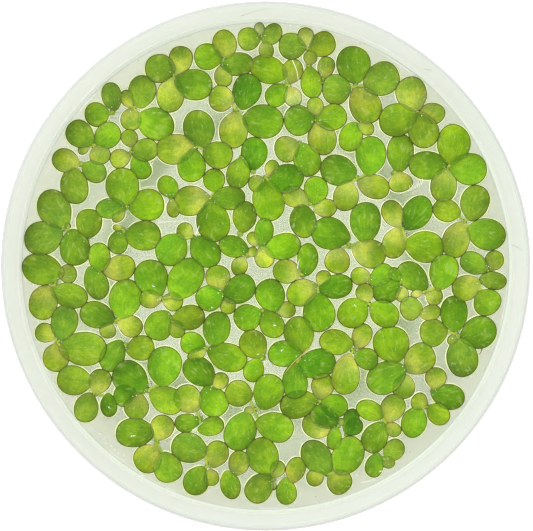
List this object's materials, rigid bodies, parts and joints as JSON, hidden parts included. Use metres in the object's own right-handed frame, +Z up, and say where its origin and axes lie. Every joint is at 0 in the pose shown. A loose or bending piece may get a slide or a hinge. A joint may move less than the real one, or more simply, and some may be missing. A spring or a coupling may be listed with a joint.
{
  "type": "bowl of giant duckweed",
  "caption": "Shallow round white plastic bowl filled with water, its surface covered with floating colonies of oval green duckweed fronds.",
  "frame": {"origin": "centre of the foot ring's underside, on the surface that the bowl stands on", "axes": "+Z up out of the bowl; the picture looks straight down with +X to its right and +Y to its top"},
  "size_m": [0.12, 0.12, 0.045],
  "materials": {
    "bowl_plastic": "smooth milky white translucent plastic, soft sheen",
    "pond_water": "clear still water with a faint green-grey tint",
    "duckweed_leaf": "waxy fresh green fronds, young ones yellow-green, with a thin dark edge and faint veins"
  },
  "bodies": {
    "root": {"bowl": "bowl_plastic", "water": "pond_water", "duckweed_01": "duckweed_leaf", "duckweed_02": "duckweed_leaf", "duckweed_03": "duckweed_leaf", "duckweed_04": "duckweed_leaf", "duckweed_05": "duckweed_leaf", "duckweed_06": "duckweed_leaf", "duckweed_07": "duckweed_leaf", "duckweed_08": "duckweed_leaf", "duckweed_09": "duckweed_leaf", "duckweed_10": "duckweed_leaf", "duckweed_11": "duckweed_leaf", "duckweed_12": "duckweed_leaf", "duckweed_13": "duckweed_leaf", "duckweed_14": "duckweed_leaf", "duckweed_15": "duckweed_leaf", "duckweed_16": "duckweed_leaf", "duckweed_17": "duckweed_leaf", "duckweed_18": "duckweed_leaf", "duckweed_19": "duckweed_leaf", "duckweed_20": "duckweed_leaf", "duckweed_21": "duckweed_leaf", "duckweed_22": "duckweed_leaf", "duckweed_23": "duckweed_leaf", "duckweed_24": "duckweed_leaf", "duckweed_25": "duckweed_leaf", "duckweed_26": "duckweed_leaf", "duckweed_27": "duckweed_leaf", "duckweed_28": "duckweed_leaf", "duckweed_29": "duckweed_leaf", "duckweed_30": "duckweed_leaf", "duckweed_31": "duckweed_leaf", "duckweed_32": "duckweed_leaf", "duckweed_33": "duckweed_leaf", "duckweed_34": "duckweed_leaf", "duckweed_35": "duckweed_leaf", "duckweed_36": "duckweed_leaf", "duckweed_37": "duckweed_leaf", "duckweed_38": "duckweed_leaf", "duckweed_39": "duckweed_leaf", "duckweed_40": "duckweed_leaf", "duckweed_41": "duckweed_leaf", "duckweed_42": "duckweed_leaf", "duckweed_43": "duckweed_leaf", "duckweed_44": "duckweed_leaf", "duckweed_45": "duckweed_leaf", "duckweed_46": "duckweed_leaf", "duckweed_47": "duckweed_leaf", "duckweed_48": "duckweed_leaf", "duckweed_49": "duckweed_leaf", "duckweed_50": "duckweed_leaf", "duckweed_51": "duckweed_leaf", "duckweed_52": "duckweed_leaf", "duckweed_53": "duckweed_leaf", "duckweed_54": "duckweed_leaf", "duckweed_55": "duckweed_leaf", "duckweed_56": "duckweed_leaf", "duckweed_57": "duckweed_leaf", "duckweed_58": "duckweed_leaf"}
  },
  "joints": []
}
